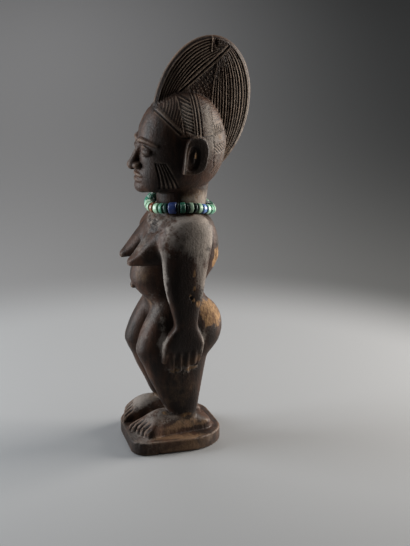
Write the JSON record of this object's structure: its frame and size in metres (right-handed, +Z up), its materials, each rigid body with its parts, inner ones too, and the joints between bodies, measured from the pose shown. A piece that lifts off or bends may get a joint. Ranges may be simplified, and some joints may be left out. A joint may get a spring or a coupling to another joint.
{
  "type": "ibeji figure",
  "caption": "Carved wooden standing female twin figure with a tall grooved disc crest, on an integral base, wearing a strand of glass beads; stands by its own weight.",
  "frame": {"origin": "on the underside of the base, below the middle of the body", "axes": "+Z up; the figure faces -Y; +X is towards its left side"},
  "size_m": [0.067, 0.089, 0.2722],
  "materials": {
    "carved_wood": "dark handled patina, satin",
    "thread": "twisted cotton, matt",
    "glass_pale": "worn opaque glass",
    "glass_amber": "worn opaque glass",
    "glass_green": "worn opaque glass",
    "glass_night": "worn opaque glass",
    "glass_cobalt": "worn opaque glass",
    "glass_emerald": "worn opaque glass",
    "glass_grey": "worn opaque glass",
    "glass_mint": "worn opaque glass",
    "glass_blue": "worn opaque glass"
  },
  "bodies": {
    "root": {"figure": "carved_wood", "necklace_string": "thread", "bead_01": "glass_pale", "bead_02": "glass_amber", "bead_03": "glass_pale", "bead_04": "glass_green", "bead_05": "glass_night", "bead_06": "glass_cobalt", "bead_07": "glass_night", "bead_08": "glass_emerald", "bead_09": "glass_night", "bead_10": "glass_grey", "bead_11": "glass_night", "bead_12": "glass_pale", "bead_13": "glass_blue", "bead_14": "glass_mint", "bead_15": "glass_green", "bead_16": "glass_pale", "bead_17": "glass_night", "bead_18": "glass_emerald", "bead_19": "glass_grey", "bead_20": "glass_cobalt", "bead_21": "glass_night", "bead_22": "glass_pale", "bead_23": "glass_green", "bead_24": "glass_amber", "bead_25": "glass_mint", "bead_26": "glass_cobalt", "bead_27": "glass_night", "bead_28": "glass_green", "bead_29": "glass_emerald", "bead_30": "glass_pale"}
  },
  "joints": []
}
